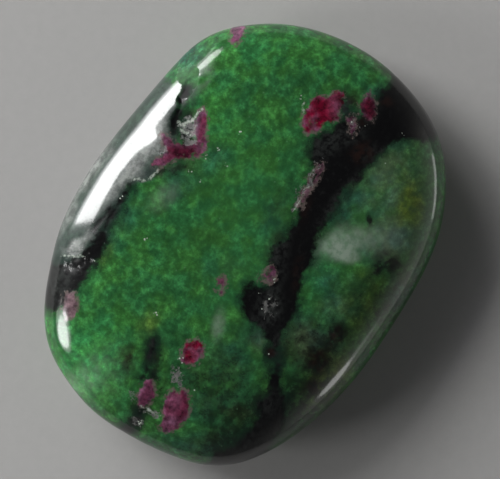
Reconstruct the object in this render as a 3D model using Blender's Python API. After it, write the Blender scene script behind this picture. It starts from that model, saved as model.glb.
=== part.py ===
"""A palm stone of ruby in zoisite: one pebble of rock, tumbled and polished all over.

Metres, +Z up. The stone lies on the flat that its belly is worn to, at Z = 0. Its long axis is X, and the
origin is on the table, under the middle of the stone's box.
"""
import math

import bmesh
import bpy
from mathutils import Vector

MM = 0.001

# The outline seen from above: a squarish oval, plus the corners and flats that tumbling left on it.
LENGTH = 44.2 * MM
WIDTH = 33.8 * MM
SQUARENESS = 2.6            # exponent of the oval: 2 is an ellipse, and larger is squarer
OUTLINE_WEAR = (            # direction from +X in degrees, how far it stands out, its spread in degrees
    (0, 0.50 * MM, 13),
    (45, 0.55 * MM, 11),
    (71, -0.30 * MM, 23),
    (98, 0.10 * MM, 21),
    (132, -0.30 * MM, 11),
    (153, 0.20 * MM, 8),
    (175, 0.40 * MM, 14),
    (209, 0.35 * MM, 12),
    (231, -0.25 * MM, 20),
)

# The section: a domed crown above the girdle, which is the widest line, and a belly below it.
GIRDLE_HEIGHT = 4.8 * MM
CROWN_HEIGHT = 4.7 * MM
BELLY_DEPTH = 5.4 * MM
FULLNESS = 4.8              # exponent of the section: the larger, the further out the crown stays level
REST_BLEND = 0.12 * MM      # height over which the belly rounds into the flat that the stone rests on

# Shallow hollows and swells that the polish followed. Each is placed by its direction from +X in
# degrees, its share of the way out to the girdle and its side, and has a radius and a depth.
CROWN = 1
BELLY = -1
RELIEF = (
    (61, 0.71, CROWN, 1.6 * MM, 0.20 * MM),
    (73, 0.74, CROWN, 1.6 * MM, -0.20 * MM),
    (129, 0.87, CROWN, 3.6 * MM, 0.10 * MM),
    (92, 0.88, CROWN, 4.0 * MM, -0.20 * MM),
    (172, 0.60, CROWN, 6.0 * MM, 0.15 * MM),
    (292, 0.78, CROWN, 5.5 * MM, 0.20 * MM),
    (341, 0.76, CROWN, 5.0 * MM, -0.15 * MM),
    (158, 0.88, BELLY, 4.2 * MM, 0.35 * MM),
    (322, 0.90, BELLY, 4.0 * MM, 0.40 * MM),
    (30, 0.85, BELLY, 3.6 * MM, 0.30 * MM),
    (245, 0.88, BELLY, 3.4 * MM, 0.25 * MM),
)

# Flats worn across the crown's edge: the direction and the tilt of each in degrees, then how far out
# and how high one point on it lies.
FACETS = (
    (73.5, 52, 16.78 * MM, 7.67 * MM),
)
FACET_BLEND = 0.15 * MM     # how softly a flat runs into the round beside it

GRID_CUTS = 23              # cuts along each edge of the cube that the ball is made from
OUTLINE_STEPS = 360         # directions in which the outline is measured to find its middle

STONE_COLOUR = (0.035, 0.105, 0.035, 1.0)
STONE_ROUGHNESS = 0.12


def clear_scene():
    """Remove every object that is in the scene."""
    for item in list(bpy.data.objects):
        bpy.data.objects.remove(item, do_unlink=True)


def reach(angle):
    """Distance from the stone's middle to its outline in one direction, in radians."""
    along = abs(math.cos(angle)) / (LENGTH / 2)
    across = abs(math.sin(angle)) / (WIDTH / 2)
    distance = (along ** SQUARENESS + across ** SQUARENESS) ** (-1 / SQUARENESS)
    for direction, amount, spread in OUTLINE_WEAR:
        turn = (math.degrees(angle) - direction + 180) % 360 - 180
        distance += amount * math.exp(-(turn / spread) ** 2)
    return distance


def outline_middle():
    """Middle of the box around the outline, which the origin lies under."""
    angles = [math.tau * step / OUTLINE_STEPS for step in range(OUTLINE_STEPS)]
    xs = [reach(angle) * math.cos(angle) for angle in angles]
    ys = [reach(angle) * math.sin(angle) for angle in angles]
    return Vector(((min(xs) + max(xs)) / 2, (min(ys) + max(ys)) / 2, 0))


def rested(height):
    """A height on the belly, rounded into the flat at Z = 0."""
    if height > REST_BLEND:
        return height
    if height < -REST_BLEND:
        return 0.0
    return (height + REST_BLEND) ** 2 / (4 * REST_BLEND)


def worn_point(angle, share, side):
    """The point of the smooth stone at a direction, a share of the way out to the girdle, and a side."""
    level = math.sqrt(max(0.0, 1 - share ** FULLNESS))
    if side == CROWN:
        height = GIRDLE_HEIGHT + CROWN_HEIGHT * level
    else:
        height = rested(GIRDLE_HEIGHT - BELLY_DEPTH * level)
    distance = share * reach(angle)
    return Vector((distance * math.cos(angle), distance * math.sin(angle), height))


def cut_facets(point):
    """The point, moved in where a flat cuts below it."""
    for direction, tilt, distance, height in FACETS:
        bearing = math.radians(direction)
        lean = math.radians(tilt)
        outward = Vector((math.cos(bearing), math.sin(bearing), 0))
        normal = outward * math.sin(lean) + Vector((0, 0, math.cos(lean)))
        over = (point - outward * distance - Vector((0, 0, height))).dot(normal)
        point = point - normal * (over + math.hypot(over, FACET_BLEND)) / 2
    return point


def make_ball(bm):
    """A ball of radius 1 with even quads, from a cube cut into a grid of equal angles."""
    bmesh.ops.create_cube(bm, size=2)
    bmesh.ops.subdivide_edges(bm, edges=bm.edges[:], cuts=GRID_CUTS, use_grid_fill=True)
    for vert in bm.verts:
        vert.co = Vector([math.tan(part * math.pi / 4) for part in vert.co])
        vert.co.normalize()


def shape_stone(bm):
    """Turn the ball into the smooth stone: its latitude becomes the section, its longitude the outline."""
    for vert in bm.verts:
        angle = math.atan2(vert.co.y, vert.co.x)
        share = min(1.0, math.hypot(vert.co.x, vert.co.y))
        side = CROWN if vert.co.z >= 0 else BELLY
        vert.co = cut_facets(worn_point(angle, share, side))
        vert.co.z = max(0.0, vert.co.z)
    bm.normal_update()


def press_relief(bm):
    """Sink the hollows and raise the swells along the surface's own normal."""
    marks = []
    for direction, share, side, radius, depth in RELIEF:
        marks.append((worn_point(math.radians(direction), share, side), radius, depth))
    for vert in bm.verts:
        if vert.co.z <= 0:
            continue
        start = vert.co.copy()
        for centre, radius, depth in marks:
            nearness = math.exp(-((start - centre).length / radius) ** 2)
            vert.co -= vert.normal * depth * nearness
        vert.co.z = max(0.0, vert.co.z)


def stone_material():
    """The polished rock's overall green."""
    material = bpy.data.materials.new("polished_zoisite")
    material.use_nodes = True
    shader = material.node_tree.nodes["Principled BSDF"]
    shader.inputs["Base Color"].default_value = STONE_COLOUR
    shader.inputs["Roughness"].default_value = STONE_ROUGHNESS
    shader.inputs["Metallic"].default_value = 0.0
    return material


def build_stone():
    """The whole stone, as one closed mesh."""
    bm = bmesh.new()
    make_ball(bm)
    shape_stone(bm)
    press_relief(bm)
    bmesh.ops.translate(bm, verts=bm.verts[:], vec=-outline_middle())
    bmesh.ops.recalc_face_normals(bm, faces=bm.faces[:])
    mesh = bpy.data.meshes.new("stone")
    bm.to_mesh(mesh)
    bm.free()
    mesh.shade_smooth()
    mesh.materials.append(stone_material())
    stone = bpy.data.objects.new("stone", mesh)
    bpy.context.scene.collection.objects.link(stone)
    return stone


clear_scene()
build_stone()
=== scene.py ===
"""A palm stone of ruby in zoisite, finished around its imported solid.

Metres, +Z up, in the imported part's own frame: the stone rests on Z = 0 with its long axis along X.
"""

import math

import bmesh
import bpy
import numpy as np
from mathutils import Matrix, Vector, noise


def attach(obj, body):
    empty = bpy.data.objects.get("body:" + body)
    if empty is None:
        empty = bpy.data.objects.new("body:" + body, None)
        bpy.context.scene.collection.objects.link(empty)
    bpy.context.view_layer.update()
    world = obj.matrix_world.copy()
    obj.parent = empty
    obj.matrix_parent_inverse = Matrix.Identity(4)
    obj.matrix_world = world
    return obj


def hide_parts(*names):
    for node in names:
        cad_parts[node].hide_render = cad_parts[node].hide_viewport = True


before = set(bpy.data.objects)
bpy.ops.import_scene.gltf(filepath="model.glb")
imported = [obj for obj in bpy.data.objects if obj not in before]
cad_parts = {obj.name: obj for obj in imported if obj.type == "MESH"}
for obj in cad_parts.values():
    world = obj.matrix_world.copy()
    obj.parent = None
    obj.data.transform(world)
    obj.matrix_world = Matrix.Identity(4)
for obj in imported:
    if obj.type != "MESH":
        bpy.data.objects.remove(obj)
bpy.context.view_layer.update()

# ---------------------------------------------------------------------------------------------------
# The pebble: one piece of rock, tumbled until it was a squarish oval with a domed crown and a belly
# worn flat underneath. This is its form alone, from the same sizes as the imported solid.

MM = 0.001
LENGTH = 44.2               # sizes of the form are in millimetres until the mesh is finished
WIDTH = 33.8
SQUARENESS = 2.6            # exponent of the oval: 2 is an ellipse, and larger is squarer
OUTLINE_WEAR = (            # direction from +X in degrees, how far it stands out, its spread in degrees
    (0, 0.50, 13),
    (45, 0.55, 11),
    (71, -0.30, 23),
    (98, 0.10, 21),
    (132, -0.30, 11),
    (153, 0.20, 8),
    (175, 0.40, 14),
    (209, 0.35, 12),
    (231, -0.25, 20),
)
GIRDLE_HEIGHT = 4.8         # the widest line, with a domed crown above it and the belly below
CROWN_HEIGHT = 4.7
BELLY_DEPTH = 5.4
FULLNESS = 4.8              # exponent of the section: the larger, the further out it stays level
REST_BLEND = 0.12           # height over which the belly rounds into the flat it rests on
CROWN = 1
BELLY = -1
RELIEF = (                  # direction in degrees, share of the way to the girdle, side, radius, depth
    (61, 0.71, CROWN, 1.6, 0.20),
    (73, 0.74, CROWN, 1.6, -0.20),
    (129, 0.87, CROWN, 3.6, 0.10),
    (92, 0.88, CROWN, 4.0, -0.20),
    (172, 0.60, CROWN, 6.0, 0.15),
    (292, 0.78, CROWN, 5.5, 0.20),
    (341, 0.76, CROWN, 5.0, -0.15),
    (158, 0.88, BELLY, 4.2, 0.35),
    (322, 0.90, BELLY, 4.0, 0.40),
    (30, 0.85, BELLY, 3.6, 0.30),
    (245, 0.88, BELLY, 3.4, 0.25),
)
FACETS = (                  # direction and tilt in degrees, distance out and height of a point on it
    (73.5, 52, 16.78, 7.67),
)
FACET_BLEND = 0.15          # how softly a flat runs into the round beside it
GRID_CUTS = 125             # cuts along each edge of the cube that the ball is made from
OUTLINE_STEPS = 360         # directions in which the outline is measured to find its middle


def reach(angles):
    """Distance in mm from the stone's middle to its outline, for each direction in radians."""
    along = np.abs(np.cos(angles)) / (LENGTH / 2)
    across = np.abs(np.sin(angles)) / (WIDTH / 2)
    distances = (along ** SQUARENESS + across ** SQUARENESS) ** (-1 / SQUARENESS)
    for direction, amount, spread in OUTLINE_WEAR:
        turns = (np.degrees(angles) - direction + 180) % 360 - 180
        distances += amount * np.exp(-(turns / spread) ** 2)
    return distances


def outline_middle():
    """Middle of the box around the outline, which the origin lies under."""
    angles = np.linspace(0, math.tau, OUTLINE_STEPS, endpoint=False)
    distances = reach(angles)
    xs = distances * np.cos(angles)
    ys = distances * np.sin(angles)
    return np.array([(xs.min() + xs.max()) / 2, (ys.min() + ys.max()) / 2, 0])


def worn_points(angles, shares, sides):
    """Points of the smooth stone, for directions, shares of the way to the girdle, and sides."""
    levels = np.sqrt(np.clip(1 - shares ** FULLNESS, 0, 1))
    crowns = GIRDLE_HEIGHT + CROWN_HEIGHT * levels
    bellies = GIRDLE_HEIGHT - BELLY_DEPTH * levels
    rounded = np.clip(bellies + REST_BLEND, 0, None) ** 2 / (4 * REST_BLEND)
    bellies = np.where(bellies > REST_BLEND, bellies, rounded)
    heights = np.where(sides == CROWN, crowns, bellies)
    distances = shares * reach(angles)
    return np.stack([distances * np.cos(angles), distances * np.sin(angles), heights], axis=-1)


def cut_facets(points):
    """Wear each flat into the smooth stone."""
    for direction, tilt, distance, height in FACETS:
        bearing = math.radians(direction)
        lean = math.radians(tilt)
        outward = np.array([math.cos(bearing), math.sin(bearing), 0])
        normal = outward * math.sin(lean) + np.array([0, 0, math.cos(lean)])
        over = (points - outward * distance - np.array([0, 0, height])) @ normal
        points -= normal * ((over + np.hypot(over, FACET_BLEND)) / 2)[:, None]


def make_ball():
    """A ball of radius 1 with even quads: a cube cut into a grid, its points pushed out."""
    bm = bmesh.new()
    bmesh.ops.create_cube(bm, size=2)
    bmesh.ops.subdivide_edges(bm, edges=bm.edges[:], cuts=GRID_CUTS, use_grid_fill=True)
    bmesh.ops.recalc_face_normals(bm, faces=bm.faces[:])
    mesh = bpy.data.meshes.new("polished_stone")
    bm.to_mesh(mesh)
    bm.free()
    return mesh


def read_points(mesh):
    """The mesh's points as an array of N by 3."""
    flat = np.empty(len(mesh.vertices) * 3, dtype=np.float32)
    mesh.vertices.foreach_get("co", flat)
    return flat.reshape(-1, 3).astype(np.float64)


def read_normals(mesh):
    """The mesh's point normals as an array of N by 3."""
    flat = np.empty(len(mesh.vertices) * 3, dtype=np.float32)
    mesh.vertex_normals.foreach_get("vector", flat)
    return flat.reshape(-1, 3).astype(np.float64)


def write_points(mesh, points):
    """Put the array of points back into the mesh."""
    mesh.vertices.foreach_set("co", points.astype(np.float32).ravel())
    mesh.update()


def shape_pebble(mesh):
    """Turn the cut cube into the smooth stone and press its hollows and swells into it."""
    cube = np.tan(read_points(mesh) * math.pi / 4)
    ball = cube / np.linalg.norm(cube, axis=1, keepdims=True)
    shares = np.minimum(np.hypot(ball[:, 0], ball[:, 1]), 1)
    sides = np.where(ball[:, 2] >= 0, CROWN, BELLY)
    points = worn_points(np.arctan2(ball[:, 1], ball[:, 0]), shares, sides)
    cut_facets(points)
    write_points(mesh, points)
    normals = read_normals(mesh)
    depths = np.zeros(len(points))
    for direction, share, side, radius, depth in RELIEF:
        centre = worn_points(np.radians([direction]), np.array([share]), np.array([side]))[0]
        gaps = np.linalg.norm(points - centre, axis=1)
        depths += depth * np.exp(-(gaps / radius) ** 2)
    depths[points[:, 2] <= 0] = 0
    points -= normals * depths[:, None]
    points[:, 2] = np.maximum(points[:, 2], 0)
    write_points(mesh, points)
    return points


stone_mesh = make_ball()
stone_points = shape_pebble(stone_mesh)

# ---------------------------------------------------------------------------------------------------
# Where the minerals lie. Places are in mm on a drawing of the crown: across and up from the stone's
# middle, with its long axis leaning. The rock's layers dip, so lower down they lie further over.

LEAN = math.radians(56)     # the long axis, from the drawing's horizontal
DIP = np.array([0.30, -0.22])       # how far the layers move across the drawing for each mm of depth
DIP_START = 2.0             # depth in mm that the crown's own face takes up
RUFFLE = (0.9, 0.6)         # lumps per mm and size in mm of the unevenness of an edge
FAR_OFF = 40                # mm to another part of the noise, which has nothing to do with the first
FAR = 1e3                   # mm, further than any place on the stone


def drawing_places(points):
    """The drawing's two coordinates for each point of the stone."""
    across = points[:, 0] * math.cos(LEAN) - points[:, 1] * math.sin(LEAN)
    up = points[:, 0] * math.sin(LEAN) + points[:, 1] * math.cos(LEAN)
    return np.stack([across, up], axis=1)


def band_distance(places, band):
    """Signed distance in mm to a band given by points on its middle line and half its width there."""
    nearest = np.full(len(places), FAR)
    for start, end in zip(band, band[1:]):
        foot = np.array(start[:2])
        step = np.array(end[:2]) - foot
        along = np.clip((places - foot) @ step / (step @ step), 0, 1)
        half = start[2] + along * (end[2] - start[2])
        gaps = np.linalg.norm(places - foot - along[:, None] * step, axis=1) - half
        nearest = np.minimum(nearest, gaps)
    return nearest


def patch_distance(places, corners):
    """Signed distance in mm to a patch given by its corners: negative inside it."""
    nearest = np.full(len(places), FAR)
    inside = np.zeros(len(places), dtype=bool)
    for start, end in zip(corners, corners[1:] + corners[:1]):
        foot = np.array(start)
        step = np.array(end) - foot
        along = np.clip((places - foot) @ step / (step @ step), 0, 1)
        gaps = np.linalg.norm(places - foot - along[:, None] * step, axis=1)
        nearest = np.minimum(nearest, gaps)
        crosses = (places[:, 1] < start[1]) != (places[:, 1] < end[1])
        if start[1] != end[1]:
            edge = start[0] + (places[:, 1] - start[1]) * (end[0] - start[0]) / (end[1] - start[1])
            inside ^= crosses & (places[:, 0] < edge)
    return np.where(inside, -nearest, nearest)


def along_and_beside(places, across, up, turn):
    """How far each place lies along and beside a line through a point, turned so many degrees."""
    angle = math.radians(turn)
    offsets = places - np.array([across, up])
    along = offsets[:, 0] * math.cos(angle) + offsets[:, 1] * math.sin(angle)
    beside = offsets[:, 0] * math.sin(angle) - offsets[:, 1] * math.cos(angle)
    return along, beside


def spot_weight(places, spots):
    """How far each place lies in any soft spot: across, up, long and short radius, turn, strength."""
    clear = np.ones(len(places))
    for across, up, long_radius, short_radius, turn, strength in spots:
        along, beside = along_and_beside(places, across, up, turn)
        gaps = (along / long_radius) ** 2 + (beside / short_radius) ** 2
        clear *= 1 - strength * np.exp(-gaps ** 1.5)
    return 1 - clear


def lumps(points, pitch):
    """Smooth noise between -1 and 1 at each point, with so many lumps per mm."""
    return np.array([noise.noise(Vector(point) * pitch) for point in points])


def ruffled(places, points, pitch, amount):
    """The places pushed about by a lumpy noise, so that what is drawn on them gets uneven edges."""
    pushes = np.stack([lumps(points, pitch), lumps(points + FAR_OFF, pitch)], axis=1)
    return places + amount * pushes


def keep_on_stone(name, values):
    """Store one value for each point under a name that the material reads."""
    layer = stone_mesh.attributes.new(name, "FLOAT", "POINT")
    layer.data.foreach_set("value", values.astype(np.float32))


crown_places = drawing_places(stone_points)
depth_below = np.clip(GIRDLE_HEIGHT + CROWN_HEIGHT - DIP_START - stone_points[:, 2], 0, None)
layer_places = crown_places + depth_below[:, None] * DIP
rough_places = ruffled(crown_places, stone_points, *RUFFLE)

# ---------------------------------------------------------------------------------------------------
# Hornblende: black veins that run right through the rock. It is softer than its neighbours, so it is
# polished a little lower and duller than they are.

HORNBLENDE_MASS = (         # corners of the main vein, up its left side and down its right
    (-3.6, -23.5), (-2.8, -20.8), (-0.8, -19.8), (0.4, -18.4), (1.2, -17.4), (1.4, -15.8),
    (1.8, -15.0), (2.4, -14.4), (2.3, -13.4), (3.0, -12.6), (3.1, -11.7), (2.1, -11.4), (2.0, -10.4),
    (2.6, -9.8), (2.0, -9.0), (1.6, -8.2), (0.9, -7.9), (0.3, -7.4), (-0.3, -6.6), (-0.4, -5.4),
    (0.0, -4.2), (0.8, -3.8), (1.4, -4.4), (2.2, -4.1), (2.9, -3.6), (2.9, -2.6),
    (2.4, -1.6), (2.7, -0.5), (3.9, 0.4), (4.4, 1.2), (5.0, 2.4), (5.4, 3.4), (5.7, 4.5), (6.2, 5.4),
    (6.8, 6.6), (6.7, 7.6), (6.4, 9.0), (6.9, 10.3), (8.6, 11.2), (9.4, 12.0), (10.4, 12.7),
    (11.4, 12.4), (12.4, 12.9), (13.1, 13.8), (13.5, 14.9), (15.0, 16.0), (16.4, 18.0), (21.0, 12.0),
    (19.4, 10.2), (17.5, 10.3), (15.9, 10.4), (14.8, 9.9), (13.9, 9.4), (13.2, 8.4), (12.2, 7.5),
    (11.4, 6.4), (10.3, 5.6), (9.5, 4.8), (9.0, 3.6), (8.0, 2.0), (7.3, 0.8), (6.9, -0.6), (6.6, -1.9),
    (5.7, -3.1), (5.5, -4.6), (5.2, -6.6), (4.5, -7.8), (3.6, -9.1), (3.3, -10.5), (3.3, -11.6),
    (3.4, -13.0), (3.5, -14.8), (4.0, -16.5), (3.8, -18.4), (2.8, -20.0), (2.6, -24.0),
)
HORNBLENDE_EDGE = (         # corners of the mass in the edge at the drawing's left
    (-11.4, 5.9), (-12.4, 4.6), (-13.6, 2.8), (-14.4, 1.2), (-15.2, 0.0), (-16.2, -1.0), (-17.6, -1.9),
    (-19.4, -2.4), (-21.0, -3.0), (-20.0, -7.0), (-17.6, -6.2), (-16.7, -4.8), (-15.4, -2.8),
    (-14.2, -1.4), (-13.6, 0.2), (-13.4, 2.0), (-12.3, 3.6),
)
HORNBLENDE_VEINS = (        # across, up, half width along each smaller vein
    ((-8.9, -9.4, 0.15), (-9.2, -10.4, 0.3), (-9.7, -12.0, 0.2), (-10.2, -13.6, 0.1)),
    ((-10.3, -16.6, 0.2), (-10.9, -18.0, 0.45), (-11.9, -20.3, 0.8)),
    ((-5.8, 15.2, 0.4), (-6.3, 14.2, 0.45)),
    ((-6.6, 13.2, 0.25), (-6.9, 12.2, 0.5), (-7.2, 11.3, 0.35)),
    ((-15.0, 1.4, 0.3), (-14.0, 2.5, 0.3), (-13.1, 3.5, 0.22), (-12.2, 4.4, 0.2), (-11.4, 5.6, 0.1)),
)
HORNBLENDE_SINK = 0.02      # mm that the polish takes off it beyond the rest
ASH = (                     # soft spots where the black is mixed through the green or turns grey
    (7.8, 9.8, 2.2, 1.3, 35, 0.75),
    (10.4, 10.6, 1.6, 1.0, 0, 0.5),
    (2.4, -6.2, 1.9, 1.2, 80, 1.0),
    (3.2, -2.4, 2.2, 1.0, 80, 0.5),
    (3.2, 0.0, 2.2, 1.0, 60, 0.6),
    (0.8, -8.6, 1.6, 1.1, 80, 0.6),
    (3.6, -10.4, 2.0, 1.2, 80, 0.6),
    (1.2, -16.3, 3.4, 1.6, 20, 0.6),
    (-1.2, -20.0, 3.8, 2.0, 5, 0.65),
    (-5.4, -13.4, 1.4, 1.2, 0, 0.35),
    (-18.2, -3.4, 3.0, 1.2, 80, 0.8),
    (12.3, 13.4, 1.4, 1.0, 70, 0.8),
    (-6.0, 9.2, 1.8, 0.9, 10, 0.8),
    (17.6, 13.4, 2.0, 1.2, -50, 0.3),
    (-9.3, -10.6, 1.6, 0.7, 80, 0.6),
    (-11.0, -17.8, 2.4, 0.9, 75, 0.7),
    (-5.6, 11.6, 1.9, 1.2, 70, 1.0),
    (10.2, 13.4, 1.2, 1.7, 10, 0.9),
    (7.6, -10.5, 3.2, 2.6, 0, 0.40),
    (9.6, 4.6, 3.6, 0.7, 50, 0.6),
    (-7.0, 7.4, 2.2, 0.8, 12, 0.7),
    (-8.4, 7.0, 1.2, 0.6, 0, 0.5),
    (9.8, 2.4, 1.3, 0.8, 70, 0.5),
    (13.0, 8.9, 1.8, 0.9, 10, 0.5),
)
BROWN = (                   # soft spots stained brown
    (11.6, 9.0, 1.2, 0.9, 30, 0.9),
    (5.9, 3.2, 1.6, 0.5, 70, 0.35),
    (14.0, 14.1, 0.8, 0.5, 0, 0.8),
    (5.2, -2.8, 1.8, 0.5, 80, 0.4),
    (11.4, 12.2, 0.7, 0.5, 0, 0.8),
    (2.5, -10.8, 0.7, 0.5, 0, 0.8),
    (9.0, -9.2, 1.2, 0.9, 45, 0.7),
    (7.3, -11.6, 1.4, 1.0, 70, 0.7),
    (-11.4, -11.2, 1.2, 0.6, 80, 0.5),
    (12.2, -4.8, 2.4, 1.2, 60, 0.30),
    (10.9, 12.8, 0.7, 1.4, 0, 0.5),
    (7.0, -14.2, 0.9, 0.7, 0, 0.6),
)

vein_gap = patch_distance(layer_places, HORNBLENDE_MASS)
vein_gap = np.minimum(vein_gap, patch_distance(layer_places, HORNBLENDE_EDGE))
for vein in HORNBLENDE_VEINS:
    vein_gap = np.minimum(vein_gap, band_distance(layer_places, vein))
keep_on_stone("ash", spot_weight(layer_places, ASH))
keep_on_stone("brown", spot_weight(layer_places, BROWN))
keep_on_stone("vein_gap", vein_gap)

# ---------------------------------------------------------------------------------------------------
# Ruby: angular grains of red corundum, the hardest mineral here, so each stands just proud of the
# polish. A grain reaches only a few millimetres down into the rock.

RUBIES = (                  # redness, depth from and to in mm below the crown's top, corners
    (1.0, 0, 3.5, ((5.7, 11.6), (5.9, 12.8), (6.6, 14.1), (7.3, 14.6), (8.3, 14.5), (9.3, 15.1),
                   (9.8, 14.8), (9.5, 13.8), (9.2, 12.3), (8.1, 12.0), (7.3, 11.3), (6.1, 10.8))),
    (0.8, 0, 3.5, ((12.0, 14.6), (12.3, 14.9), (12.6, 14.5), (12.9, 13.8), (12.9, 12.9), (12.5, 12.2),
                   (12.0, 12.4), (11.5, 13.0), (11.4, 13.7))),
    (0.3, 0, 2.5, ((10.2, 12.4), (10.6, 12.6), (10.9, 12.0), (10.8, 11.0), (10.5, 10.6), (10.4, 11.6))),
    (0.75, 0, 4.0, ((-4.6, 13.1), (-4.1, 13.4), (-3.8, 13.1), (-3.9, 11.8), (-3.8, 9.6), (-4.1, 9.0),
                    (-4.7, 8.6), (-5.5, 8.4), (-6.3, 8.5), (-7.1, 8.3), (-7.7, 7.9), (-8.5, 7.6),
                    (-9.2, 7.7), (-8.8, 8.3), (-8.1, 8.6), (-7.7, 9.1), (-8.2, 9.7), (-8.2, 10.8),
                    (-7.5, 10.6), (-7.0, 9.9), (-6.3, 9.7), (-5.5, 10.0), (-4.8, 10.1), (-5.0, 10.9),
                    (-4.9, 12.1))),
    (0.5, 0, 5.0, ((-1.3, 21.6), (-0.5, 22.0), (0.1, 21.6), (-0.2, 20.6), (-0.9, 19.7), (-1.4, 20.2))),
    (0.95, 0, 3.0, ((-5.7, -9.8), (-4.8, -9.5), (-4.2, -9.9), (-4.1, -10.8), (-4.8, -11.7),
                    (-5.8, -12.1), (-6.2, -11.4), (-6.1, -10.5))),
    (0.7, 0, 5.0, ((-7.5, -14.7), (-7.0, -14.5), (-6.6, -15.1), (-6.2, -14.4), (-5.6, -14.9),
                   (-5.5, -16.1), (-5.9, -17.5), (-6.9, -18.4), (-7.9, -18.7), (-8.5, -18.3),
                   (-8.0, -17.2), (-8.1, -16.1))),
    (0.4, 0, 3.0, ((-9.8, -13.5), (-9.1, -13.6), (-9.0, -14.9), (-9.5, -15.9), (-10.5, -16.1),
                   (-10.6, -15.1), (-10.2, -14.4))),
    (0.3, 0, 2.0, ((-2.8, -3.4), (-2.1, -3.3), (-2.0, -4.1), (-2.3, -4.9), (-2.8, -4.5))),
    (0.35, 0, 2.5, ((1.3, -3.4), (1.8, -2.9), (2.6, -2.2), (3.0, -2.7), (2.9, -3.5), (2.3, -3.9),
                    (1.5, -3.8))),
    (0.2, 0, 3.0, ((5.1, 3.5), (5.3, 4.4), (5.8, 5.4), (6.5, 6.6), (7.3, 7.8), (7.9, 7.9), (7.4, 6.7),
                   (6.7, 5.6), (5.9, 4.5), (5.4, 3.4))),
    (0.1, 0, 6.0, ((-17.8, -5.0), (-16.9, -4.8), (-16.5, -6.0), (-16.9, -7.3), (-17.7, -7.5),
                   (-18.1, -6.2))),
)
PINK = (                    # soft spots where a grain is paler
    (8.9, 13.4, 0.8, 1.3, 0, 0.45),
    (7.9, 14.6, 1.2, 0.4, 0, 0.6),
    (5.6, 12.0, 0.4, 1.2, -15, 0.6),
    (6.0, 10.7, 0.5, 0.4, 0, 0.8),
    (12.3, 15.0, 0.6, 0.5, 0, 0.9),
    (-4.5, 12.9, 0.7, 0.5, 40, 0.9),
    (-4.0, 10.8, 0.3, 1.6, 0, 0.5),
    (-4.9, 11.6, 0.5, 1.3, 0, 1.0),
    (-7.9, 10.2, 0.6, 0.6, 0, 0.8),
    (-6.2, 9.7, 1.6, 0.3, 0, 0.6),
    (-8.6, 8.0, 1.0, 0.5, 10, 0.6),
    (-0.6, 21.2, 1.2, 1.2, 0, 0.8),
    (-7.6, -17.9, 1.1, 1.0, 0, 0.8),
    (-7.0, -15.6, 0.8, 1.0, 0, 0.45),
    (-5.9, -11.8, 0.8, 0.4, 0, 0.5),
    # This spot is partly painted sheen: it pales the mauve patch beside the window's highlight.
    (-17.3, -6.2, 1.2, 1.6, 0, 0.5),
)
RUBY_RISE = 0.03            # mm that the polish leaves it proud

ruby_gap = np.full(len(stone_points), FAR)
redness = np.zeros(len(stone_points))
crown_depth = GIRDLE_HEIGHT + CROWN_HEIGHT - stone_points[:, 2]
for red, top, bottom, corners in RUBIES:
    gap = patch_distance(crown_places, corners)
    gap = np.maximum(gap, np.maximum(top - crown_depth, crown_depth - bottom))
    redness = np.where(gap < ruby_gap, red, redness)
    ruby_gap = np.minimum(ruby_gap, gap)
keep_on_stone("ruby_gap", ruby_gap)
keep_on_stone("redness", redness)
keep_on_stone("pink", spot_weight(crown_places, PINK))

# ---------------------------------------------------------------------------------------------------
# Zoisite: the green ground of the rock, a mass of fine grains. Its colour drifts from zone to zone,
# pale where it is purest and dark where hornblende is mixed into it. Two broad faint dark spots near
# the top of the drawing are painted shade.

PALE = (                    # soft spots of nearly white zoisite
    (10.0, -1.2, 1.2, 0.6, -15, 0.95),
    (9.3, -0.6, 1.8, 1.0, -10, 0.7),
    (9.4, 0.2, 2.2, 1.3, 20, 0.6),
    (11.6, 0.5, 2.2, 1.0, 10, 0.45),
    (14.2, 0.2, 1.8, 1.8, 50, 0.15),
    (-2.6, -8.0, 1.5, 0.6, 80, 0.40),
    (-14.6, -13.0, 2.6, 3.6, -35, 0.12),
    (-16.4, -14.2, 1.2, 2.8, -40, 0.30),
    (-8.0, 4.6, 1.8, 1.0, 40, 0.22),
    (7.0, -0.5, 0.6, 1.6, 0, 0.20),
)
TEAL = (                    # soft spots of bluer green
    (9.2, -4.4, 1.8, 2.4, 60, 0.7),
    (10.4, 3.6, 1.8, 3.4, -35, 0.75),
    (-6.6, 5.6, 2.6, 1.3, 30, 0.6),
    (-3.2, 8.4, 2.0, 1.4, 40, 0.5),
    (-12.6, 2.2, 1.8, 3.4, -35, 0.6),
    (-5.7, 18.6, 2.4, 1.4, 40, 1.0),
    (-6.0, -20.5, 4.2, 1.8, 0, 0.8),
    (-3.6, -16.2, 3.2, 1.4, 0, 0.5),
    (-1.4, -11.8, 2.0, 3.0, 0, 0.5),
    (-4.2, -11.2, 1.6, 1.6, 0, 0.4),
    (2.8, 2.6, 1.2, 2.2, -20, 0.5),
    (-2.0, -2.4, 2.2, 1.2, 0, 0.4),
    (12.6, 14.9, 1.4, 0.9, 20, 0.6),
)
OLIVE = (                   # soft spots of yellower green
    (16.3, 3.9, 2.0, 1.3, 75, 1.0),
    (17.0, 2.6, 1.6, 1.0, 75, 0.6),
    (15.8, 6.2, 2.0, 1.4, 60, 0.25),
    (12.0, -4.4, 3.0, 1.7, 60, 0.35),
    (11.6, -7.4, 2.0, 1.4, 60, 0.35),
    (8.5, -12.6, 2.4, 2.0, 40, 0.7),
    (7.0, -15.0, 2.6, 2.0, 40, 0.5),
    (-14.0, -1.0, 1.5, 0.8, 60, 0.4),
    (-9.6, -8.0, 1.6, 1.0, 60, 0.4),
)
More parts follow.
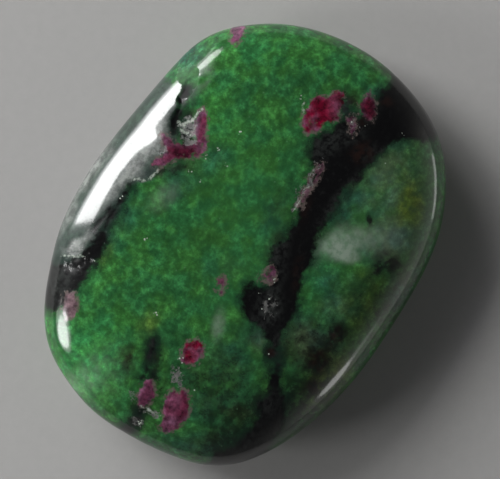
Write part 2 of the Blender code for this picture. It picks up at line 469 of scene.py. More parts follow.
DUSK_AND_PAINTED_SHADE = (                    # soft spots of nearly black green; two broad faint ones near the top are painted shade
    (14.3, -1.8, 1.6, 1.1, -40, 1.0),
    (13.0, -2.6, 1.1, 0.6, 30, 0.8),
    (9.0, -9.0, 1.2, 0.9, 45, 1.0),
    (7.3, -11.4, 1.6, 1.1, 70, 1.0),
    (12.3, 2.25, 0.75, 0.32, -80, 1.0),
    (2.5, -10.6, 0.7, 0.5, 0, 0.9),
    (-9.0, -10.8, 1.8, 0.9, 80, 0.85),
    (-9.1, -13.6, 1.6, 0.6, 80, 0.8),
    (-10.4, -16.6, 1.2, 0.8, 80, 0.8),
    (-2.6, -16.6, 3.2, 1.6, 0, 0.35),
    (-2.2, -19.8, 2.8, 1.5, 10, 0.65),
    (-12.2, -11.8, 1.5, 2.4, -10, 0.4),
    (-11.6, -11.6, 1.4, 0.9, 80, 0.5),
    (5.6, -16.6, 5.4, 3.4, 30, 0.78),
    (5.8, -12.6, 2.6, 1.6, 60, 0.4),
    (15.5, -6.0, 2.2, 5.0, -35, 0.45),
    (-1.2, -16.4, 4.0, 2.2, 10, 0.40),
    (-1.5, -9.6, 2.0, 2.0, 0, 0.32),
    (-1.2, -12.8, 3.4, 2.2, 0, 0.45),
    (-7.0, -12.4, 2.2, 4.2, -15, 0.30),
    (-8.6, -16.0, 1.8, 2.6, 0, 0.35),
    # These two broad faint spots are painted shade on the side that faces the window.
    (5.0, 17.0, 7.5, 3.5, -25, 0.14),
    (-3.0, 17.5, 3.0, 2.0, 40, 0.14),
    (12.4, -5.4, 3.4, 2.4, 60, 0.34),
    (3.0, -11.6, 2.6, 1.2, 85, 0.6),
    (7.0, -14.2, 0.9, 0.7, 0, 0.9),
    (7.8, -9.6, 3.4, 2.8, 30, 0.42),
    (3.6, 4.4, 1.2, 2.8, -30, 0.40),
    (-3.4, 0.6, 3.0, 1.2, -20, 0.18),
    (5.6, -9.2, 1.6, 2.0, 0, 0.45),
    (-3.8, -14.2, 2.4, 1.6, 0, 0.45),
)
BRIGHT = (                  # soft spots of brighter green
    (-15.0, -12.0, 3.0, 4.4, -35, 1.0),
    (2.0, 19.5, 7.5, 2.8, -10, 0.32),
    (11.5, 17.5, 3.0, 2.0, -20, 0.2),
    (-3.0, 13.0, 1.8, 3.4, 20, 0.25),
)
GREY = (                    # soft spots of greyer green
    (14.5, 6.5, 2.6, 4.0, -20, 0.75),
    (15.5, 1.5, 2.0, 3.0, -20, 0.7),
    (13.5, 0.0, 2.5, 2.0, 20, 0.8),
    (9.0, -6.6, 2.2, 1.4, 0, 0.35),
    (5.6, -9.0, 1.6, 1.8, 0, 0.7),
    (7.2, -10.2, 2.6, 2.0, 20, 0.6),
    (15.5, -4.6, 1.4, 2.8, -35, 0.7),
    (1.6, -9.6, 0.9, 1.2, 0, 0.8),
)
SMOOTH = (                  # soft spots where the grain is finer and shows less
    (1.5, 1.5, 7.0, 9.0, 20, 1.0),
    (12.5, 3.0, 6.0, 8.0, -20, 1.0),
    (0.0, -8.0, 4.0, 6.0, 0, 0.6),
)

for zone_name, zone_spots in (("pale", PALE), ("teal", TEAL), ("olive", OLIVE), ("dusk_and_painted_shade", DUSK_AND_PAINTED_SHADE),
                              ("bright", BRIGHT), ("grey", GREY), ("smooth", SMOOTH)):
    keep_on_stone(zone_name, spot_weight(layer_places, zone_spots))

# ---------------------------------------------------------------------------------------------------
# Rind: a layer of grey rock in the stone's +Y edge. Over it lies a painted reflection of the window's dim
# upper part, strongest along its inner side and on its upper part, and fading towards the belly.

RIND = (                    # corners of the layer
    (-20.5, -3.4), (-17.4, -2.8), (-15.6, -1.8), (-14.4, -0.5), (-13.6, 0.8), (-12.9, 2.4), (-12.0, 4.2),
    (-11.6, 5.6), (-10.4, 6.0), (-9.2, 6.4), (-8.2, 7.6), (-7.4, 8.4), (-7.0, 9.6), (-6.6, 10.8),
    (-7.0, 12.0), (-6.5, 13.6), (-6.5, 14.8), (-7.4, 16.0), (-8.8, 17.0), (-10.6, 15.6), (-13.8, 11.8),
    (-16.8, 7.4), (-19.0, 3.0),
)
PAINTED_SHEEN_SPOTS = (                    # soft spots of painted reflection, which make it paler
    (-12.8, 5.4, 2.1, 1.0, 50, 1.0),
    (-11.0, 7.8, 2.0, 1.0, 50, 1.0),
    (-9.4, 9.8, 1.8, 1.1, 55, 1.0),
    (-8.4, 11.6, 1.4, 0.9, 60, 0.8),
    (-15.4, 7.6, 3.4, 0.9, 55, 0.9),
    (-17.6, 3.0, 2.2, 0.7, 62, 0.6),
    (-15.2, 1.1, 1.8, 0.7, 52, 0.7),
    (-16.8, -0.6, 1.0, 0.8, 10, 0.9),
)
PAINTED_SHEEN_FROM = 1.6             # height in mm at which the painted reflection sets in
PAINTED_SHEEN_OVER = 4.0             # mm over which it reaches its full strength

painted_sheen_share = np.clip((stone_points[:, 2] - PAINTED_SHEEN_FROM) / PAINTED_SHEEN_OVER, 0, 1)
keep_on_stone("rind_gap", patch_distance(crown_places, RIND))
keep_on_stone("painted_sheen", spot_weight(rough_places, PAINTED_SHEEN_SPOTS) * painted_sheen_share)

# ---------------------------------------------------------------------------------------------------
# Raw spots: small hollows that the polish never reached, mostly beside ruby. They stay dull and grey,
# with a painted highlight on their broken edges. Loose painted glints lie in the green as well.

RAW = (                     # soft spots where the face breaks up into such hollows
    (-5.7, 11.3, 1.5, 1.0, 68, 0.5),
    (-5.2, 10.0, 0.9, 0.35, 0, 0.5),
    (-8.2, 9.2, 0.9, 0.5, 40, 0.45),
    (6.3, 6.4, 2.4, 0.5, 55, 0.5),
    (5.0, 3.6, 1.2, 0.3, 70, 0.5),
    (10.7, 12.0, 1.0, 0.45, -60, 0.42),
    (2.4, -6.2, 1.5, 0.9, 80, 0.45),
    (-6.6, -13.0, 1.4, 0.7, 100, 0.55),
    (-9.2, -16.6, 1.3, 0.5, -30, 0.55),
    (-11.2, -14.9, 1.0, 0.4, -20, 0.5),
    (-10.7, -17.6, 0.8, 0.4, -20, 0.5),
    (-17.2, -2.2, 1.1, 0.6, 10, 0.30),
    (-15.3, -1.5, 0.8, 0.4, 10, 0.28),
)
MATT = (                    # soft spots that are level but dull
    (-5.7, 16.5, 1.4, 1.05, 60, 1.0),
    (-5.7, 15.0, 0.95, 0.5, 60, 1.0),
)
SATIN = (                   # soft spots with a streaky half shine
    (-16.8, -0.6, 1.3, 1.0, 20, 1.0),
    (-15.2, 0.8, 1.6, 0.8, 50, 0.6),
)
PAINTED_CRESTS = (                  # across, up, half width along each broken edge with a painted highlight
    ((-6.7, 12.0, 0.03), (-6.0, 11.8, 0.12), (-5.2, 12.2, 0.09), (-4.7, 12.9, 0.10), (-4.2, 13.3, 0.03)),
    ((-6.3, 11.3, 0.05), (-5.8, 11.0, 0.16), (-5.4, 10.7, 0.03)),
    ((-11.2, 6.2, 0.02), (-10.5, 6.4, 0.05), (-9.8, 6.2, 0.05), (-9.1, 6.7, 0.05), (-8.5, 7.3, 0.01)),
    ((6.6, 6.3, 0.0), (5.9, 5.2, 0.04), (5.3, 4.2, 0.05), (5.0, 3.4, 0.03)),
    ((-10.3, -16.1, 0.01), (-9.6, -16.4, 0.07), (-8.9, -16.9, 0.05), (-8.3, -17.1, 0.01)),
    ((5.9, 14.1, 0.01), (5.7, 13.4, 0.05), (5.8, 12.8, 0.01)),
    ((-18.2, -1.2, 0.0), (-17.3, -1.3, 0.03), (-16.6, -1.25, 0.03), (-15.9, -1.3, 0.0)),
)
PAINTED_GLINTS = (                  # across, up, radius of each painted glint
    (-3.7, 8.5, 0.3), (-5.3, 7.2, 0.35), (-4.4, 6.3, 0.3), (-2.7, 9.3, 0.25), (-1.8, 7.8, 0.25),
    (-12.3, 4.7, 0.35), (-9.9, 0.6, 0.35), (5.7, 14.5, 0.4), (2.6, -10.9, 0.35), (-10.4, -17.8, 0.35),
    (-4.8, -14.5, 0.35), (13.8, 7.7, 0.3), (-6.5, -3.8, 0.3), (-0.5, 11.0, 0.3), (2.9, -3.7, 0.3),
    (1.4, -5.1, 0.3), (1.5, -6.5, 0.3), (2.2, -5.4, 0.4), (-8.8, -6.9, 0.3), (-6.3, -11.5, 0.4),
    (15.7, 10.9, 0.25), (10.5, 12.2, 0.4),
    (-15.0, -1.6, 0.3), (11.9, 11.8, 0.25), (10.6, 12.7, 0.3),
)
RAW_SINK = 0.05             # mm, how deep the hollows are
LEDGES = (                  # across, up, direction, half length, drop, how far the low side reaches
    (-6.4, 14.0, 72, 2.2, 0.16, 6.0),
)

on_crown = crown_depth < GIRDLE_HEIGHT
raw = spot_weight(rough_places, RAW) * on_crown
painted_glint_spots = tuple((across, up, radius, radius, 0, 1.0) for across, up, radius in PAINTED_GLINTS)
painted_crest_gap = np.full(len(stone_points), FAR)
for painted_crest in PAINTED_CRESTS:
    painted_crest_gap = np.minimum(painted_crest_gap, band_distance(crown_places, painted_crest))
keep_on_stone("raw", raw)
keep_on_stone("matt", spot_weight(rough_places, MATT) * on_crown)
keep_on_stone("satin", spot_weight(rough_places, SATIN) * on_crown)
keep_on_stone("painted_glints", spot_weight(crown_places, painted_glint_spots) * on_crown)
keep_on_stone("painted_crest_gap", np.where(on_crown, painted_crest_gap, FAR))

# ---------------------------------------------------------------------------------------------------
# The polished face itself: tumbling leaves a faint waviness, sinks the soft mineral and leaves the
# hard one proud. The resting flat stays true.

WAVES = ((0.10, 0.045), (0.32, 0.012), (0.9, 0.003))    # waves per mm, height in mm
RAW_GRAIN = 1.6             # lumps per mm in the raw hollows
LEDGE_STEP = 0.18           # mm on either side of a ledge's line in which its face drops
LEDGE_END = 0.7             # mm over which a ledge dies out past its ends


def ease(values, low, high):
    """0 below low, 1 above high, and a smooth rise between."""
    share = np.clip((values - low) / (high - low), 0, 1)
    return share * share * (3 - 2 * share)


def ledge_depth(across, up, turn, half_length, drop, reach_beyond):
    """How deep the low side of a ledge lies at each point."""
    along, beside = along_and_beside(rough_places, across, up, turn)
    fade = np.exp(-(np.clip(np.abs(along) - half_length, 0, None) / LEDGE_END) ** 2)
    beyond = np.exp(-(np.clip(beside, 0, None) / reach_beyond) ** 2)
    return drop * ease(beside, -LEDGE_STEP, LEDGE_STEP) * beyond * fade


def finish_face(mesh, points):
    """Move the face in or out by what polishing did to each mineral."""
    normals = read_normals(mesh)
    lift = np.zeros(len(points))
    for pitch, height in WAVES:
        lift += height * lumps(points, pitch)
    lift -= HORNBLENDE_SINK * ease(-vein_gap, -0.2, 0.4)
    lift += RUBY_RISE * ease(-ruby_gap, -0.15, 0.15)
    lift -= RAW_SINK * raw * (1 + 0.6 * lumps(points, RAW_GRAIN))
    for ledge in LEDGES:
        lift -= ledge_depth(*ledge) * on_crown
    lift *= ease(points[:, 2], 0.05, 0.6)
    write_points(mesh, points + normals * lift[:, None])


finish_face(stone_mesh, stone_points)
write_points(stone_mesh, (read_points(stone_mesh) - outline_middle()) * MM)
stone_mesh.shade_smooth()

# ---------------------------------------------------------------------------------------------------
# The stone's finish: one material, because the rock was polished as one. Each mineral's place comes
# from what is kept on the stone, and its grain comes from noise in mm.

ZOISITE_GREEN = (0.0250, 0.120, 0.0300, 1)
ZOISITE_TEAL = (0.020, 0.078, 0.044, 1)
ZOISITE_OLIVE = (0.082, 0.126, 0.020, 1)
ZOISITE_BRIGHT = (0.034, 0.205, 0.048, 1)
ZOISITE_GREY = (0.070, 0.126, 0.078, 1)
ZOISITE_PALE = (0.220, 0.286, 0.224, 1)
# nearly black green, also used for painted shade
ZOISITE_DUSK_AND_SHADE = (0.008, 0.012, 0.007, 1)
ASH_GREY = (0.014, 0.017, 0.015, 1)
RIND_GREY = (0.034, 0.044, 0.042, 1)
# the colour of the painted reflection on the rind
RIND_PAINTED_SHEEN = (0.190, 0.192, 0.190, 1)
ROOT_BROWN = (0.014, 0.006, 0.004, 1)
# painted highlight on broken edges and painted glints
PAINTED_GLINT_WHITE = (0.50, 0.56, 0.48, 1)
HORNBLENDE_BLACK = (0.0018, 0.0018, 0.0018, 1)
HORNBLENDE_GREY = (0.025, 0.028, 0.026, 1)
SELVAGE_GREEN = (0.005, 0.016, 0.010, 1)
RUBY_CRIMSON = (0.102, 0.0008, 0.012, 1)
RUBY_WINE = (0.090, 0.020, 0.046, 1)
RUBY_DULL = (0.056, 0.030, 0.038, 1)
RUBY_PINK = (0.155, 0.066, 0.115, 1)
RUBY_SKIN = (0.120, 0.095, 0.085, 1)
RAW_GREY = (0.034, 0.036, 0.033, 1)
RAW_PALE = (0.112, 0.108, 0.102, 1)
FLECK_GREEN = (0.11, 0.24, 0.12, 1)
COOL_TINT = (0.84, 0.95, 1.12, 1)
WARM_TINT = (1.18, 1.06, 0.88, 1)
STONE_IOR = 1.70
ROUGHNESS = 0.10            # of the best polish
HORNBLENDE_ROUGHNESS = 0.13
RAW_ROUGHNESS = 0.9
SATIN_ROUGHNESS = 0.34
SATIN_STREAK = (2.2, 0.3, 1.0)      # length, breadth and depth of a streak in mm
PAINTED_GLINT_SHARE = 0.9
PAINTED_CREST_SHARE = 0.7
RELIEF_DEPTH = 0.04         # mm, of the fine unevenness that only the light shows


def put(tree, kind, **settings):
    """Add one node and set its options."""
    added = tree.nodes.new(kind)
    for option, value in settings.items():
        setattr(added, option, value)
    return added


def feed(tree, socket, source):
    """Wire another node's output into a socket, or give the socket a plain value."""
    if isinstance(source, bpy.types.NodeSocket):
        tree.links.new(source, socket)
    else:
        socket.default_value = source


def kept(tree, name):
    """A value that is kept on the stone."""
    return put(tree, "ShaderNodeAttribute", attribute_name=name).outputs["Fac"]


def reckon(tree, operation, first, second=0.0, third=0.0):
    """One step of arithmetic."""
    added = put(tree, "ShaderNodeMath", operation=operation)
    for socket, source in zip(added.inputs, (first, second, third)):
        feed(tree, socket, source)
    return added.outputs["Value"]


def rise(tree, value, low, high, start=0.0, end=1.0):
    """A smooth change from start to end while the value goes from low to high."""
    added = put(tree, "ShaderNodeMapRange", interpolation_type="SMOOTHSTEP")
    for socket, source in zip(added.inputs, (value, low, high, start, end)):
        feed(tree, socket, source)
    return added.outputs["Result"]


def cloud(tree, place, pitch, detail=2.0, roughness=0.5, distortion=0.0):
    """Noise with so many lumps per mm."""
    added = put(tree, "ShaderNodeTexNoise")
    feed(tree, added.inputs["Vector"], place)
    feed(tree, added.inputs["Scale"], pitch)
    added.inputs["Detail"].default_value = detail
    added.inputs["Roughness"].default_value = roughness
    added.inputs["Distortion"].default_value = distortion
    return added.outputs["Fac"]


def cells(tree, place, pitch, feature="F1"):
    """Crystal grains, so many per mm."""
    added = put(tree, "ShaderNodeTexVoronoi", feature=feature)
    feed(tree, added.inputs["Vector"], place)
    added.inputs["Scale"].default_value = pitch
    return added


def blend(tree, share, first, second, kind="MIX"):
    """Mix two colours."""
    added = put(tree, "ShaderNodeMix", data_type="RGBA", blend_type=kind)
    feed(tree, added.inputs["Factor"], share)
    feed(tree, added.inputs["A"], first)
    feed(tree, added.inputs["B"], second)
    return added.outputs["Result"]


def measured(tree, place, turn, sizes):
    """The place in a frame turned about Z, counted in steps of that size each way."""
    added = put(tree, "ShaderNodeMapping", vector_type="TEXTURE")
    feed(tree, added.inputs["Vector"], place)
    added.inputs["Rotation"].default_value = (0, 0, turn)
    added.inputs["Scale"].default_value = sizes
    return added.outputs["Vector"]


def new_group(name, inputs, output):
    """An empty node group with named inputs and one output."""
    group = bpy.data.node_groups.new(name, "ShaderNodeTree")
    for label, kind in inputs:
        group.interface.new_socket(label, in_out="INPUT", socket_type=kind)
    group.interface.new_socket(output, in_out="OUTPUT", socket_type="NodeSocketFloat")
    return group, put(group, "NodeGroupInput"), put(group, "NodeGroupOutput")


def ragged_edge_group():
    """Turns a signed distance into a mask whose edge runs in and out between the grains."""
    inputs = (("Gap", "NodeSocketFloat"), ("Place", "NodeSocketVector"), ("Pitch", "NodeSocketFloat"),
              ("Ragged", "NodeSocketFloat"), ("Soft", "NodeSocketFloat"))
    group, given, result = new_group("ragged_edge", inputs, "Mask")
    lump = cloud(group, given.outputs["Place"], given.outputs["Pitch"], 5.0, 0.65)
    swing = reckon(group, "MULTIPLY", reckon(group, "SUBTRACT", lump, 0.5), given.outputs["Ragged"])
    gap = reckon(group, "ADD", given.outputs["Gap"], swing)
    below = reckon(group, "MULTIPLY", given.outputs["Soft"], -1.0)
    mask = rise(group, gap, below, given.outputs["Soft"], 1.0, 0.0)
    group.links.new(mask, result.inputs["Mask"])
    return group


def ragged(tree, group, gap, place, pitch, amount, soft):
    """A ragged mask: 1 inside, 0 outside."""
    added = put(tree, "ShaderNodeGroup", node_tree=group)
    for label, source in (("Gap", gap), ("Place", place), ("Pitch", pitch), ("Ragged", amount),
                          ("Soft", soft)):
        feed(tree, added.inputs[label], source)
    return added.outputs["Mask"]


def first_channel(tree, colour):
    """The first channel of a colour."""
    added = put(tree, "ShaderNodeSeparateColor")
    feed(tree, added.inputs["Color"], colour)
    return added.outputs[0]


def grey_of(tree, value):
    """A grey of that value, which may be over 1."""
    added = put(tree, "ShaderNodeCombineXYZ")
    for socket in added.inputs:
        feed(tree, socket, value)
    return added.outputs["Vector"]


def zoisite_colour(tree, place):
    """Green in zones, some dark ones painted shade, then lighter and darker grain by grain."""
    colour = ZOISITE_GREEN
    for name, tone, pitch in (("teal", ZOISITE_TEAL, 0.5), ("grey", ZOISITE_GREY, 0.5),
                              ("olive", ZOISITE_OLIVE, 0.6), ("bright", ZOISITE_BRIGHT, 0.7),
                              ("ash", ASH_GREY, 0.9), ("dusk_and_painted_shade", ZOISITE_DUSK_AND_SHADE, 1.0)):
        lump = cloud(tree, place, pitch, 5.0, 0.6)
        share = reckon(tree, "MULTIPLY", kept(tree, name), rise(tree, lump, 0.3, 0.6, 0.5, 1.2))
        share = reckon(tree, "MINIMUM", share, 1.0)
        colour = blend(tree, share, colour, tone)
    brown = reckon(tree, "MULTIPLY", kept(tree, "brown"), rise(tree, cloud(tree, place, 1.3, 3.0), 0.35, 0.6))
    colour = blend(tree, brown, colour, ROOT_BROWN)
    warp = cloud(tree, place, 0.45, 4.0, 0.54)
    tint = blend(tree, rise(tree, warp, 0.35, 0.65), COOL_TINT, WARM_TINT)
    colour = blend(tree, 1.0, colour, tint, "MULTIPLY")
    mottle = cloud(tree, place, 1.2, 8.0, 0.77)
    grain = first_channel(tree, cells(tree, place, 2.6).outputs["Color"])
    shade = reckon(tree, "POWER", reckon(tree, "MULTIPLY", mottle, 1.965), 3.3)
    shade = reckon(tree, "MULTIPLY", shade, rise(tree, grain, 0.0, 1.0, 0.75, 1.25))
    shade = reckon(tree, "MULTIPLY", shade, rise(tree, cloud(tree, place, 0.6, 2.0), 0.3, 0.7, 0.72, 1.28))
    depth = rise(tree, kept(tree, "smooth"), 0.0, 1.0, 0.60, 0.42)
    shade = reckon(tree, "MULTIPLY_ADD", reckon(tree, "SUBTRACT", shade, 1.0), depth, 1.0)
    colour = blend(tree, 1.0, colour, grey_of(tree, shade), "MULTIPLY")
    lump = cloud(tree, place, 1.1, 5.0, 0.6)
    pale = reckon(tree, "MULTIPLY", kept(tree, "pale"), rise(tree, lump, 0.35, 0.62, 0.6, 1.2))
    pale = reckon(tree, "MINIMUM", pale, 1.0)
    colour = blend(tree, pale, colour, ZOISITE_PALE)
    dots = cells(tree, place, 1.5)
    chosen = rise(tree, first_channel(tree, dots.outputs["Color"]), 0.80, 0.97, 0.0, 0.35)
    near = rise(tree, dots.outputs["Distance"], 0.05, 0.20, 1.0, 0.0)
    fleck = reckon(tree, "MULTIPLY", chosen, near)
    return blend(tree, fleck, colour, FLECK_GREEN)


def rind_and_sheen_colour(tree, place):
    """Grey with a slight grain, paler in parts under a painted reflection."""
    grain = rise(tree, cloud(tree, place, 1.2, 6.0, 0.7), 0.3, 0.7, 0.7, 1.3)
    painted_sheen = reckon(tree, "MINIMUM", reckon(tree, "MULTIPLY", kept(tree, "painted_sheen"), grain), 1.0)
    colour = blend(tree, painted_sheen, RIND_GREY, RIND_PAINTED_SHEEN)
    return blend(tree, 1.0, colour, grey_of(tree, grain), "MULTIPLY")


def hornblende_colour(tree, place):
    """Near black, with dull grey flakes, greyer and browner in parts."""
    flakes = cloud(tree, place, 1.6, 6.0, 0.75)
    few = reckon(tree, "MULTIPLY", rise(tree, flakes, 0.50, 0.75), 0.25)
    many = reckon(tree, "MULTIPLY", rise(tree, flakes, 0.38, 0.62), kept(tree, "ash"))
    colour = blend(tree, reckon(tree, "MAXIMUM", few, many), HORNBLENDE_BLACK, HORNBLENDE_GREY)
    brown = rise(tree, cloud(tree, place, 1.3, 3.0), 0.3, 0.6)
    return blend(tree, reckon(tree, "MULTIPLY", kept(tree, "brown"), brown), colour, ROOT_BROWN)


def ruby_colour(tree, place):
    """Crimson at best, duller where the grain is poor and pinker at some edges."""
    colour = blend(tree, rise(tree, kept(tree, "redness"), 0.0, 0.5), RUBY_DULL, RUBY_WINE)
    colour = blend(tree, rise(tree, kept(tree, "redness"), 0.5, 1.0), colour, RUBY_CRIMSON)
    streak = rise(tree, cloud(tree, place, 0.7, 5.0, 0.6), 0.38, 0.62)
    edge = rise(tree, kept(tree, "ruby_gap"), -0.50, 0.05, 0.0, 0.9)
    edge = reckon(tree, "MULTIPLY", edge, rise(tree, kept(tree, "redness"), 0.0, 0.6, 0.25, 1.0))
    pinkness = reckon(tree, "MULTIPLY", edge, streak)
    spot = reckon(tree, "MULTIPLY", kept(tree, "pink"), rise(tree, streak, 0.0, 1.0, 0.6, 1.1))
    pinkness = reckon(tree, "MINIMUM", reckon(tree, "MAXIMUM", pinkness, spot), 1.0)
    colour = blend(tree, pinkness, colour, RUBY_PINK)
    colour = blend(tree, rise(tree, kept(tree, "redness"), 0.05, 0.25, 0.6, 0.0), colour, RUBY_SKIN)
    shade = reckon(tree, "POWER", reckon(tree, "MULTIPLY", cloud(tree, place, 1.5, 6.0, 0.65), 2.0), 2.4)
    shade = reckon(tree, "MULTIPLY", shade, rise(tree, kept(tree, "ash"), 0.1, 0.9, 1.0, 0.45))
    return blend(tree, 1.0, colour, grey_of(tree, shade), "MULTIPLY")


def raw_mask(tree, place):
    """Where the face is broken up: 1 in the hollows, 0 outside."""
    crust = reckon(tree, "MULTIPLY_ADD", cloud(tree, place, 2.2, 5.0, 0.75), 2.0, -1.0)
    return rise(tree, reckon(tree, "ADD", kept(tree, "raw"), crust), 0.34, 0.62)


def painted_glint_mask(tree, place, edge):
    """Where painted highlights lie on broken edges and painted glints lie loose."""
    painted_specks = rise(tree, cells(tree, place, 3.2).outputs["Distance"], 0.16, 0.38, 1.0, 0.0)
    painted_specks = reckon(tree, "MULTIPLY", painted_specks, rise(tree, kept(tree, "painted_glints"), 0.3, 0.8))
    painted_crest = ragged(tree, edge, kept(tree, "painted_crest_gap"), place, 3.0, 0.9, 0.14)
    painted_crest = reckon(tree, "MULTIPLY", painted_crest, PAINTED_CREST_SHARE)
    return reckon(tree, "MULTIPLY", reckon(tree, "MAXIMUM", painted_specks, painted_crest), PAINTED_GLINT_SHARE)


def stone_colour(tree, place, edge, core, raw_spots):
    """Each mineral's colour laid over the green, in the order in which they cut across each other, with the
    painted reflection on the rind and painted glints on top.
    """
    vein_gap_kept = kept(tree, "vein_gap")
    ruby_gap_kept = kept(tree, "ruby_gap")
    rind = ragged(tree, edge, kept(tree, "rind_gap"), place, 0.9, 1.6, 0.4)
    smoke = ragged(tree, edge, reckon(tree, "SUBTRACT", vein_gap_kept, 0.45), place, 0.7, 3.2, 0.9)
    ruby = ragged(tree, edge, ruby_gap_kept, place, 1.7, 1.3, 0.14)
    skin = ragged(tree, edge, reckon(tree, "SUBTRACT", ruby_gap_kept, 0.25), place, 2.4, 1.6, 0.12)
    patchy = rise(tree, cloud(tree, place, 1.3, 4.0, 0.7), 0.42, 0.58, 0.0, 0.8)
    facets = rise(tree, cloud(tree, place, 1.4, 5.0, 0.7), 0.38, 0.64)
    colour = zoisite_colour(tree, place)
    # The rind, with the painted reflection on it.
    colour = blend(tree, reckon(tree, "MULTIPLY", rind, 0.9), colour, rind_and_sheen_colour(tree, place))
    colour = blend(tree, reckon(tree, "MULTIPLY", smoke, 0.8), colour, SELVAGE_GREEN)
    colour = blend(tree, core, colour, hornblende_colour(tree, place))
    colour = blend(tree, reckon(tree, "MULTIPLY", skin, patchy), colour, RUBY_SKIN)
    colour = blend(tree, ruby, colour, ruby_colour(tree, place))
    colour = blend(tree, raw_spots, colour, blend(tree, facets, RAW_GREY, RAW_PALE))
    # Painted highlights and painted glints go on last.
    return blend(tree, painted_glint_mask(tree, place, edge), colour, PAINTED_GLINT_WHITE)


def stone_roughness(tree, place, core, raw_spots):
    """Glossy where polished, a little duller on hornblende, and dull where the polish failed."""
    rough = rise(tree, core, 0.0, 1.0, ROUGHNESS, HORNBLENDE_ROUGHNESS)
    rough = reckon(tree, "MAXIMUM", rough, reckon(tree, "MULTIPLY", raw_spots, RAW_ROUGHNESS))
    scuffed = reckon(tree, "ADD", kept(tree, "matt"), cloud(tree, place, 1.8, 4.0, 0.6))
    rough = reckon(tree, "MAXIMUM", rough, rise(tree, scuffed, 0.92, 1.00, 0.0, RAW_ROUGHNESS))
    streaks = cloud(tree, measured(tree, place, -LEAN, SATIN_STREAK), 1.0, 3.0, 0.6)
    satin = reckon(tree, "MULTIPLY", kept(tree, "satin"), rise(tree, streaks, 0.35, 0.60, 0.5, 1.0))
    return reckon(tree, "MAXIMUM", rough, reckon(tree, "MULTIPLY", satin, SATIN_ROUGHNESS))


def stone_relief(tree, place, core, raw_spots):
    """The finest unevenness: a slight orange peel, more on hornblende, and the raw hollows' edges."""
    peel = rise(tree, core, 0.0, 1.0, 0.12, 0.4)
    height = reckon(tree, "MULTIPLY", cloud(tree, place, 3.0, 3.0, 0.6), peel)
    bump = put(tree, "ShaderNodeBump")
    bump.inputs["Strength"].default_value = 0.5
    bump.inputs["Distance"].default_value = RELIEF_DEPTH * MM
    feed(tree, bump.inputs["Height"], reckon(tree, "SUBTRACT", height, raw_spots))
    return bump.outputs["Normal"]


def stone_material():
    """The polished rock."""
    material = bpy.data.materials.new("polished_ruby_in_zoisite")
    material.use_nodes = True
    tree = material.node_tree
    shader = tree.nodes["Principled BSDF"]
    texture = put(tree, "ShaderNodeTexCoord")
    place = measured(tree, texture.outputs["Object"], 0.0, (MM, MM, MM))
    edge = ragged_edge_group()
    core = ragged(tree, edge, reckon(tree, "ADD", kept(tree, "vein_gap"), 0.05), place, 1.1, 2.1, 0.32)
    raw_spots = raw_mask(tree, place)
    feed(tree, shader.inputs["Base Color"], stone_colour(tree, place, edge, core, raw_spots))
    feed(tree, shader.inputs["Roughness"], stone_roughness(tree, place, core, raw_spots))
    feed(tree, shader.inputs["Normal"], stone_relief(tree, place, core, raw_spots))
    shader.inputs["IOR"].default_value = STONE_IOR
    return material


stone_mesh.materials.append(stone_material())
stone = bpy.data.objects.new("polished_stone", stone_mesh)
bpy.context.scene.collection.objects.link(stone)
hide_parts("stone")
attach(stone, "root")

# ---------------------------------------------------------------------------------------------------
# The floor: a plain pale sheet that the stone lies on. It isn't part of the stone, and nothing is
# fixed to it.

FLOOR_SIZE = 3.0            # metres
FLOOR_DROP = 0.01           # mm that it lies below the stone's resting flat
FLOOR_GREY = (0.41, 0.405, 0.395, 1)
FLOOR_SHADE = (0.37, 0.366, 0.358, 1)


def make_floor():
    """A level sheet, just under the stone's resting flat."""
    bm = bmesh.new()
    bmesh.ops.create_grid(bm, x_segments=1, y_segments=1, size=FLOOR_SIZE / 2)
    bmesh.ops.translate(bm, verts=bm.verts[:], vec=(0, 0, -FLOOR_DROP * MM))
    mesh = bpy.data.meshes.new("floor")
    bm.to_mesh(mesh)
    bm.free()
    material = bpy.data.materials.new("pale_floor")
    material.use_nodes = True
    tree = material.node_tree
    shader = tree.nodes["Principled BSDF"]
    texture = put(tree, "ShaderNodeTexCoord")
    mottle = cloud(tree, texture.outputs["Object"], 900.0, 3.0, 0.6)
    colour = blend(tree, mottle, FLOOR_SHADE, FLOOR_GREY)
    feed(tree, shader.inputs["Base Color"], colour)
    shader.inputs["Roughness"].default_value = 0.9
    shader.inputs["Specular IOR Level"].default_value = 0.2
    mesh.materials.append(material)
    floor = bpy.data.objects.new("floor", mesh)
    bpy.context.scene.collection.objects.link(floor)


make_floor()

# ---------------------------------------------------------------------------------------------------
# Light: one tall soft panel on the stone's +Y side does nearly all of it. The panels beside it draw the
# shorter highlights, the low ones opposite draw the thin lines on the rim, and the room is dim.

PANELS = (                  # name, direction on the drawing, distance, width, bottom, top, shape, radiance
    ("window", 147, 0.50, 0.26, 0.09, 0.455, "RECTANGLE", 11.0),
    ("window_sill", 147, 0.50, 0.26, 0.045, 0.09, "RECTANGLE", 3.6),
    ("window_wing", 122, 0.50, 0.22, 0.13, 0.33, "ELLIPSE", 6.5),
    ("side_window", 195, 0.50, 0.17, 0.10, 0.33, "ELLIPSE", 8.0),
    ("side_glow", 193, 0.50, 0.26, 0.07, 0.38, "ELLIPSE", 2.2),
    ("low_strip", 2, 0.60, 0.26, 0.002, 0.08, "RECTANGLE", 1.8),
    ("low_lamp", -43, 0.60, 0.11, 0.08, 0.23, "ELLIPSE", 2.4),
    ("low_lamp_tail", -36, 0.60, 0.10, 0.13, 0.21, "ELLIPSE", 0.5),
)
ROOM_SIDE = (0.65, 0.65, 0.62, 1)   # the lighter wall across from the window, near its foot
SIDE_BEARING = -15                  # its direction on the drawing in degrees
ROOM_DARK = (0.11, 0.11, 0.11, 1)
ROOM_ABOVE = (0.035, 0.035, 0.04, 1)
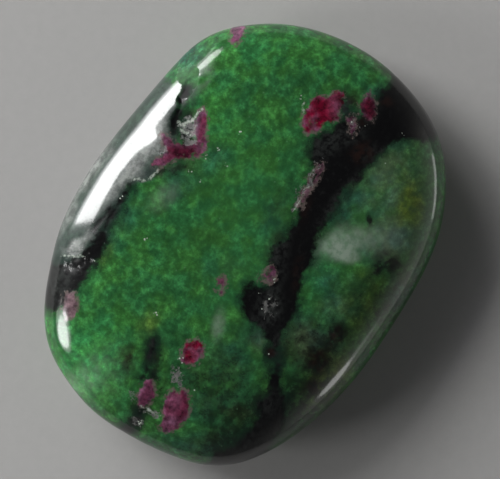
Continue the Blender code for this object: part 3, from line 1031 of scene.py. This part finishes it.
GLOW = (3.0, 3.0, 3.05, 1)          # the wall above the window, which the window lights
GLOW_BEARING = 141


def add_panel(name, bearing, distance, width, bottom, top, shape, radiance):
    """An upright soft panel that faces the stone, at a bearing on the drawing in degrees."""
    light = bpy.data.lights.new(name, "AREA")
    light.shape = shape
    light.size = width
    light.size_y = top - bottom
    face = width * (top - bottom) * (math.pi / 4 if shape == "ELLIPSE" else 1)
    light.energy = radiance * math.pi * face
    angle = math.radians(bearing) - LEAN
    outward = Vector((math.cos(angle), math.sin(angle), 0))
    panel = bpy.data.objects.new(name, light)
    panel.location = outward * distance + Vector((0, 0, (bottom + top) / 2))
    panel.rotation_euler = (math.pi / 2, 0, angle + math.pi / 2)
    bpy.context.scene.collection.objects.link(panel)


def facing(tree, split, bearing, low, high):
    """How nearly a level look goes towards a bearing on the drawing: 0 below low, 1 above high."""
    angle = math.radians(bearing) - LEAN
    toward = reckon(tree, "MULTIPLY", split.outputs["X"], math.cos(angle))
    toward = reckon(tree, "MULTIPLY_ADD", split.outputs["Y"], math.sin(angle), toward)
    height = split.outputs["Z"]
    level = reckon(tree, "SQRT", reckon(tree, "SUBTRACT", 1.0001, reckon(tree, "MULTIPLY", height, height)))
    return rise(tree, reckon(tree, "DIVIDE", toward, level), low, high)


def light_room():
    """A dim room, lighter on the side across from the window and on the wall above it."""
    world = bpy.data.worlds.new("room")
    world.use_nodes = True
    tree = world.node_tree
    texture = put(tree, "ShaderNodeTexCoord")
    split = put(tree, "ShaderNodeSeparateXYZ")
    feed(tree, split.inputs["Vector"], texture.outputs["Generated"])
    height = split.outputs["Z"]
    foot = blend(tree, facing(tree, split, SIDE_BEARING, 0.60, 0.95), ROOM_DARK, ROOM_SIDE)
    colour = blend(tree, rise(tree, height, 0.0, 0.85), foot, ROOM_ABOVE)
    glow = reckon(tree, "MULTIPLY", facing(tree, split, GLOW_BEARING, 0.89, 0.97),
                  rise(tree, height, 0.50, 0.90, 1.0, 0.0))
    glow = reckon(tree, "MULTIPLY", glow, rise(tree, height, -0.02, 0.02))
    colour = blend(tree, glow, colour, GLOW)
    feed(tree, tree.nodes["Background"].inputs["Color"], colour)
    bpy.context.scene.world = world


for panel_values in PANELS:
    add_panel(*panel_values)
light_room()

# ---------------------------------------------------------------------------------------------------
# Camera: straight above the stone, with a long lens, and turned so that the stone's long axis leans as
# on the drawing.

CAMERA_HEIGHT = 0.35        # metres above the stone
VIEW_WIDTH = 50.0           # mm across the view
VIEW_MIDDLE = (0.5, 0.4)    # middle of the view on the drawing, in mm
SENSOR = 36.0               # mm


def add_camera():
    """A long lens looking straight down."""
    lens = bpy.data.cameras.new("camera")
    lens.sensor_width = SENSOR
    lens.lens = SENSOR * CAMERA_HEIGHT / (VIEW_WIDTH * MM)
    lens.clip_start = 0.01
    camera = bpy.data.objects.new("camera", lens)
    across, up = VIEW_MIDDLE
    middle = np.array([across * math.cos(LEAN) + up * math.sin(LEAN),
                       up * math.cos(LEAN) - across * math.sin(LEAN), 0]) - outline_middle()
    camera.location = (middle[0] * MM, middle[1] * MM, CAMERA_HEIGHT + CROWN_HEIGHT * MM)
    camera.rotation_euler = (0, 0, -LEAN)
    bpy.context.scene.collection.objects.link(camera)
    bpy.context.scene.camera = camera


add_camera()
bpy.context.scene.view_settings.view_transform = "Standard"
